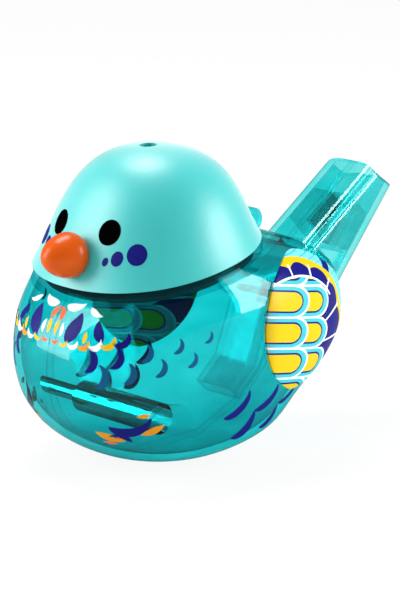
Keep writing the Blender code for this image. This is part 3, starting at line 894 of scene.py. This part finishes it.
def make_face():
    """Eyes and cheek dots, printed on both sides of the head."""
    sheets = {"black": bmesh.new(), "navy": bmesh.new()}
    for colour, (x, y, z), long, wide, turn in FACE_MARKS:
        for sign in (1.0, -1.0):
            place = (sign * x - FACE_SHIFT, y, z)
            grid_on_skin(sheets[colour], head_tree, place, sign * turn, ellipse_rows(long, wide))
    for colour, bm in sheets.items():
        sheet_piece(f"face_print_{colour}", bm, prints[colour], "head")


def side_point(angle, v):
    """A point of the body's skin: angle round from the front, v up from the foot."""
    ring = body_ring(v)
    place = ((angle / math.tau - 0.25) % 1.0) * RING_SEGMENTS - 0.5
    i = int(math.floor(place)) % RING_SEGMENTS
    share = place - math.floor(place)
    first, second = np.array(ring[i]), np.array(ring[(i + 1) % RING_SEGMENTS])
    return tuple(first + (second - first) * share)


def feather_marks():
    """Every mark of the ornament, as the rows of LEAVES are."""
    marks = list(LEAVES)
    for k, colour in enumerate(GARLAND):
        length = 0.0030 + 0.0005 * k
        height = 0.838 - 0.004 * k + 0.0012 * k * k
        marks.append((colour, 0.06 + 0.095 * k, height, 0.25 + 0.06 * k, length, 0.27 * length, 2.7, 0.5))
    for row in range(HOOK_ROWS):
        for k in range(HOOKS_IN_FIRST_ROW - row):
            length = 0.0066 - 0.0008 * k
            colour = "navy" if row == 0 and k < 2 else "deep"
            marks.append((colour, 0.44 + 0.18 * k + 0.09 * row, 0.790 + 0.010 * k - 0.062 * row,
                          1.45 - 0.10 * k, 1.15 * length, 0.29 * length, 2.6, 0.42))
    for angle, height, length in BACK_CRESCENTS:
        marks.append(("navy", angle, height, 0.85, length, 0.25 * length, 2.0, 0.44))
    return marks + list(SPRIG)


def make_feathers():
    """A generic ornament of leaves, drops and crescents on both sides of the clear body."""
    sheets = {colour: bmesh.new() for colour in ("navy", "deep", "white", "yellow", "amber", "coral")}
    for colour, angle, height, turn, *shape in feather_marks():
        x, y, z = side_point(angle, height)
        rows = ribbon_rows(*shape)
        grid_on_skin(sheets[colour], body_tree, (x, y, z), turn, rows)
        mirrored = [[(a, -b) for a, b in row] for row in rows]
        grid_on_skin(sheets[colour], body_tree, (-x, y, z), math.pi - turn, mirrored)
    for colour, bm in sheets.items():
        sheet_piece(f"feather_print_{colour}", bm, prints[colour], "body")


def wing_border(nodes, y, z):
    """The wing's banded border and its fringe of quills; also the share of the way out from the centre."""
    dy = nodes.value("SUBTRACT", y, BORDER_CENTRE[0])
    dz = nodes.value("SUBTRACT", z, BORDER_CENTRE[1])
    parts = [nodes.value("POWER", nodes.value("ABSOLUTE", nodes.value("DIVIDE", part, reach)), BORDER_POWER)
             for part, reach in zip((dy, dz), BORDER_RADII)]
    radius = nodes.value("POWER", nodes.value("ADD", *parts), 1.0 / BORDER_POWER)

    turn = nodes.value("DIVIDE", nodes.value("ARCTAN2", dz, dy), QUILL_STEP)
    turn = nodes.value("ADD", turn, QUILL_START)
    phase = nodes.value("ABSOLUTE", nodes.value("SUBTRACT", nodes.value("FRACT", turn), 0.5))
    corner = nodes.value("MULTIPLY", nodes.value("MULTIPLY", phase, phase), QUILL_ROUNDING)
    quill_end = nodes.value("SUBTRACT", QUILL_END, corner)
    colour = nodes.mix(nodes.value("LESS_THAN", radius, quill_end), YELLOW, NAVY)
    line = nodes.value("GREATER_THAN", phase, QUILL_LINE_PHASE)
    line = nodes.value("MULTIPLY", line, nodes.value("LESS_THAN", radius, QUILL_LINE_END))
    colour = nodes.mix(line, colour, WHITE)

    dashes = nodes.add("ShaderNodeTexBrick")
    dashes.inputs["Scale"].default_value = 1.0
    dashes.inputs["Color1"].default_value = SKY
    dashes.inputs["Color2"].default_value = SKY
    dashes.inputs["Mortar"].default_value = SKY_DASH
    dashes.inputs["Mortar Size"].default_value = 0.10
    dashes.inputs["Brick Width"].default_value = 1.7
    dashes.inputs["Row Height"].default_value = 1.1
    flat = nodes.add("ShaderNodeCombineXYZ")
    nodes.link(y, flat.inputs[0])
    nodes.link(z, flat.inputs[1])
    nodes.link(flat.outputs[0], dashes.inputs["Vector"])
    outer = nodes.value("GREATER_THAN", radius, SKY_START)
    colour = nodes.mix(outer, colour, dashes.outputs["Color"])
    every_other = nodes.value("FRACT", nodes.value("MULTIPLY", turn, 0.5))
    outer_quill = nodes.value("MULTIPLY", outer, nodes.value("LESS_THAN", every_other, OUTER_QUILL_SHARE))
    return nodes.mix(outer_quill, colour, NAVY), radius


def wing_scales(nodes, y, z, ground):
    """Two columns of round-ended scales over a ground, in rows that slope down towards the back.

    Also gives the distance up across the rows.
    """
    fy = nodes.value("SUBTRACT", y, SCALE_ORIGIN[0])
    fz = nodes.value("SUBTRACT", z, SCALE_ORIGIN[1])
    cos, sin = math.cos(SCALE_SLOPE), math.sin(SCALE_SLOPE)
    along = nodes.value("SUBTRACT", nodes.value("MULTIPLY", fy, cos), nodes.value("MULTIPLY", fz, sin))
    across = nodes.value("ADD", nodes.value("MULTIPLY", fy, sin), nodes.value("MULTIPLY", fz, cos))
    row = nodes.value("DIVIDE", nodes.value("SUBTRACT", across, SCALE_START), SCALE_PITCH)
    low = nodes.value("MULTIPLY", nodes.value("FLOOR", row), SCALE_PITCH)
    middle = nodes.value("ADD", low, SCALE_START + 0.5 * SCALE_PITCH)
    offset = nodes.value("ABSOLUTE", nodes.value("SUBTRACT", across, middle))
    bend = nodes.value("MULTIPLY", nodes.value("MULTIPLY", middle, middle), SCALE_REACH_BEND)
    lean = nodes.value("MULTIPLY", middle, SCALE_REACH_LEAN)
    reach = nodes.value("ADD", nodes.value("ADD", bend, lean), SCALE_REACH)
    colour = ground
    for column in SCALE_COLUMNS:
        for shade, half, short, rounding in SCALE_SHAPES:
            end = nodes.value("ADD", reach, column - short - rounding)
            past = nodes.value("MAXIMUM", nodes.value("SUBTRACT", along, end), 0.0)
            first = nodes.value("POWER", nodes.value("DIVIDE", offset, half), SCALE_SIDE_POWER)
            second = nodes.value("POWER", nodes.value("DIVIDE", past, rounding), 2.0)
            inside = nodes.value("LESS_THAN", nodes.value("ADD", first, second), 1.0)
            colour = nodes.mix(inside, colour, shade)
    return colour, across


def wing_print():
    """The opaque wing print: scales inside a white arc, and the border round them, darkened by painted
    shade towards its front edge.
    """
    made, nodes, shader = new_material("wing_scales")
    place = nodes.add("ShaderNodeTexCoord")
    split = nodes.add("ShaderNodeSeparateXYZ")
    nodes.link(place.outputs["Object"], split.inputs[0])
    y = nodes.value("MULTIPLY", nodes.value("SUBTRACT", split.outputs[1], SHIFT_Y), 1000.0)
    z = nodes.value("MULTIPLY", split.outputs[2], 1000.0)
    border, radius = wing_border(nodes, y, z)
    colour, across = wing_scales(nodes, y, z, border)
    arc = nodes.value("MULTIPLY", nodes.value("GREATER_THAN", radius, ARC_START),
                      nodes.value("GREATER_THAN", across, ARC_LOW_END))
    colour = nodes.mix(arc, colour, WHITE)
    colour = nodes.mix(nodes.value("GREATER_THAN", radius, ARC_END), colour, border)
    # Painted shade: the print darkens towards its front edge.
    colour = nodes.mix(nodes.ramp(y, *FRONT_PAINTED_SHADE), colour, FRONT_PAINTED_SHADE_COLOUR)
    nodes.link(colour, shader.inputs["Base Color"])
    shader.inputs["Roughness"].default_value = 0.35
    shader.inputs["Specular IOR Level"].default_value = 0.12
    nodes.link(nodes.bump(nodes.noise(PRINT_GRAIN), PRINT_GRAIN_DEPTH), shader.inputs["Normal"])
    return made


def make_wings():
    """A raised cap over each flank, printed with scales, whose edge turns down to the skin."""
    finish = wing_print()
    outline = [bezier(stretch, i / WING_STEPS) for stretch in WING_OUTLINE for i in range(WING_STEPS)]
    centre = sum(outline) / len(outline)
    levels = [(0.002 + 0.998 * i / WING_LAYERS, WING_RELIEF + PRINT_LIFT) for i in range(WING_LAYERS)]
    levels += [(1.0, WING_RELIEF - WING_EDGE_DROP), (1.0, WING_EDGE_LIFT)]
    for name, sign in (("wing_left", 1.0), ("wing_right", -1.0)):
        rings = []
        for share, lift in levels:
            ring = []
            for point in outline:
                y, z = centre + (point - centre) * share
                start = Vector((sign * FAR, y, z))
                hit, normal, _, _ = body_tree.ray_cast(start, Vector((-sign, 0.0, 0.0)))
                ring.append(hit + normal * lift)
            rings.append(ring)
        bm = loft(rings, end="open")
        finished(put(name, bm), finish, "body", angle=50.0)


# Build

def in_tail(x, y, z):
    """Whether a point in the bird's frame lies on the tail tube."""
    cos, sin = math.cos(TAIL_SLOPE), math.sin(TAIL_SLOPE)
    s, t = y * cos + z * sin, z * cos - y * sin
    inside = tail_bottom(s) - 0.0004 < t < tail_top(s) + 0.0004
    return inside and s > TAIL_BASE - 0.0040 and abs(x) < TAIL_HALF_WIDTH + 0.0002


def in_boss(x, y, z):
    """Whether a point in the bird's frame lies on the boss or the pin, clear of the outer walls."""
    reach = BOSS_RADIUS + 0.0003 + max(abs(x) - 0.016, 0.0)
    return math.hypot(y + JOIN_FORWARD, z - JOIN_HEIGHT) < reach and abs(x) < 0.0175


def rim_drop(y, z):
    """How far a point in the bird's frame lies below the rim's plane."""
    return (y - RIM_SHIFT) * math.sin(RIM_TILT) - (z - RIM_HEIGHT) * math.cos(RIM_TILT)


def in_rim(x, y, z):
    """Whether a point in the bird's frame lies on the band that holds the collar."""
    return rim_drop(y, z) < 0.9 * COLLAR_DEPTH and y < RIM_HALF_DEPTH + 0.0005


def in_collar(x, y, z):
    """Whether a point in the bird's frame lies on the head's plug collar."""
    return rim_drop(y, z) > -0.00005


def in_seam(x, y, z):
    """Whether a point lies on the flat faces where the halves meet."""
    return abs(x) < 0.6 * SEAM_GAP


def add_finish(item, finish, test):
    """Give the faces that pass the test another material."""
    index = len(item.data.materials)
    item.data.materials.append(finish)
    for face in item.data.polygons:
        x, y, z = face.center
        if test(x, y - SHIFT_Y, z):
            face.material_index = index


for shell, node in zip(make_body(), ("body_left", "body_right")):
    finished(shell, clear_teal, "body", (node,))
    # The rim band's finish carries painted shade below the head's edge.
    for finish, test in ((clear_tail, in_tail), (clear_boss, in_boss), (clear_rim_painted_shade, in_rim),
                         (clear_seam, in_seam)):
        add_finish(shell, finish, test)
head = finished(make_head(), head_paint, "head", ("head_cap",))
# The collar's faces get the dark painted shade.
add_finish(head, painted_collar_shade, in_collar)
finished(make_beak(), beak_paint, "head", ("beak",))
for node, finish in (("windway_block", clear_block), ("air_duct", clear_duct)):
    for slot in frame["nodes"][node].material_slots:
        slot.material = finish
make_face()
make_feathers()
make_wings()
for item in list(bpy.data.objects):
    if item.name.startswith("cut_"):
        bpy.data.objects.remove(item, do_unlink=True)


# Stage

FLOOR_RADIUS = 4.0
FLOOR_DROP = 0.0002
FLOOR_TONE = 0.86
FLOOR_DIMMING = 0.55
FLOOR_GLOW_SHARE = 0.91
FILL_LIGHT = 0.46
FILL_DIMMING = 0.32

# Lamps: name, place, target, size and power
LAMPS = (
    ("key", (-0.49, -0.57, 0.33), (0.0, -0.02, 0.035), (0.42, 0.72), 6.5),
    ("top", (-0.30, 0.08, 0.80), (0.0, 0.0, 0.05), (0.34, 0.34), 4.8),
    ("rim", (0.50, 0.40, 0.22), (0.0, 0.0, 0.05), (0.24, 0.44), 4.6),
)


def seen_directly(nodes):
    """1 for rays that show the background: from the camera, or by way of clear plastic."""
    path = nodes.add("ShaderNodeLightPath")
    return nodes.value("MAXIMUM", path.outputs["Is Camera Ray"], path.outputs["Is Transmission Ray"])


def less_in_reflections(nodes, amount, dimming):
    """An amount that is smaller for glossy rays."""
    path = nodes.add("ShaderNodeLightPath")
    return nodes.value("SUBTRACT", amount, nodes.value("MULTIPLY", path.outputs["Is Glossy Ray"], dimming))


def make_floor():
    """A pale floor that keeps the shadow."""
    bm = bmesh.new()
    bmesh.ops.create_circle(bm, cap_ends=True, segments=96, radius=FLOOR_RADIUS)
    floor = put("floor", bm)
    made, nodes, shader = new_material("floor_white")
    tone = nodes.add("ShaderNodeCombineColor")
    for socket in tone.inputs[:3]:
        nodes.link(less_in_reflections(nodes, FLOOR_TONE, FLOOR_DIMMING), socket)
    nodes.link(tone.outputs[0], shader.inputs["Base Color"])
    shader.inputs["Roughness"].default_value = 0.9
    glow = nodes.add("ShaderNodeEmission")
    glow.inputs["Strength"].default_value = 1.0
    blend = nodes.add("ShaderNodeMixShader")
    nodes.link(nodes.value("MULTIPLY", seen_directly(nodes), FLOOR_GLOW_SHARE), blend.inputs[0])
    nodes.link(shader.outputs[0], blend.inputs[1])
    nodes.link(glow.outputs[0], blend.inputs[2])
    nodes.link(blend.outputs[0], made.node_tree.nodes["Material Output"].inputs["Surface"])
    floor.data.materials.append(made)
    floor.location.z = -FLOOR_DROP


def make_world():
    """White studio surroundings, dimmer in reflections and in the light that they give."""
    world = bpy.data.worlds.new("studio")
    bpy.context.scene.world = world
    world.use_nodes = True
    nodes = Nodes(world.node_tree)
    background = world.node_tree.nodes["Background"]
    background.inputs["Color"].default_value = (1.0, 1.0, 1.0, 1.0)
    fill = less_in_reflections(nodes, FILL_LIGHT, FILL_DIMMING)
    nodes.link(nodes.value("MAXIMUM", seen_directly(nodes), fill), background.inputs["Strength"])


def add_light(name, place, target, size, power):
    """A rectangular area lamp aimed at a target."""
    data = bpy.data.lights.new(name, "AREA")
    data.shape = "RECTANGLE"
    data.size, data.size_y = size
    data.energy = power
    lamp = bpy.data.objects.new(name, data)
    bpy.context.scene.collection.objects.link(lamp)
    lamp.location = place
    lamp.rotation_mode = "QUATERNION"
    lamp.rotation_quaternion = (Vector(target) - Vector(place)).to_track_quat("-Z", "Y")


def make_camera():
    """The camera at the photograph's place."""
    a, e = CAMERA_AZIMUTH, CAMERA_ELEVATION
    right_way = Vector((math.cos(a), math.sin(a), 0.0))
    up = Vector((-math.sin(a) * math.sin(e), math.cos(a) * math.sin(e), math.cos(e)))
    back = Vector((math.sin(a) * math.cos(e), -math.cos(a) * math.cos(e), math.sin(e)))
    data = bpy.data.cameras.new("camera")
    data.sensor_width = SENSOR
    data.lens = SENSOR * PIXELS_PER_METRE * CAMERA_DISTANCE / FRAME_HEIGHT_PIXELS
    data.clip_start, data.clip_end = 0.01, 20.0
    camera = bpy.data.objects.new("camera", data)
    bpy.context.scene.collection.objects.link(camera)
    place = right_way * CAMERA_RIGHT + up * CAMERA_UP + back * CAMERA_DISTANCE
    turn = Matrix((right_way, up, back)).transposed().to_4x4()
    camera.matrix_world = Matrix.Translation(place + Vector((0.0, SHIFT_Y, 0.0))) @ turn
    bpy.context.scene.camera = camera


make_floor()
make_world()
for lamp in LAMPS:
    add_light(*lamp)
make_camera()
bpy.context.scene.view_settings.view_transform = "Standard"
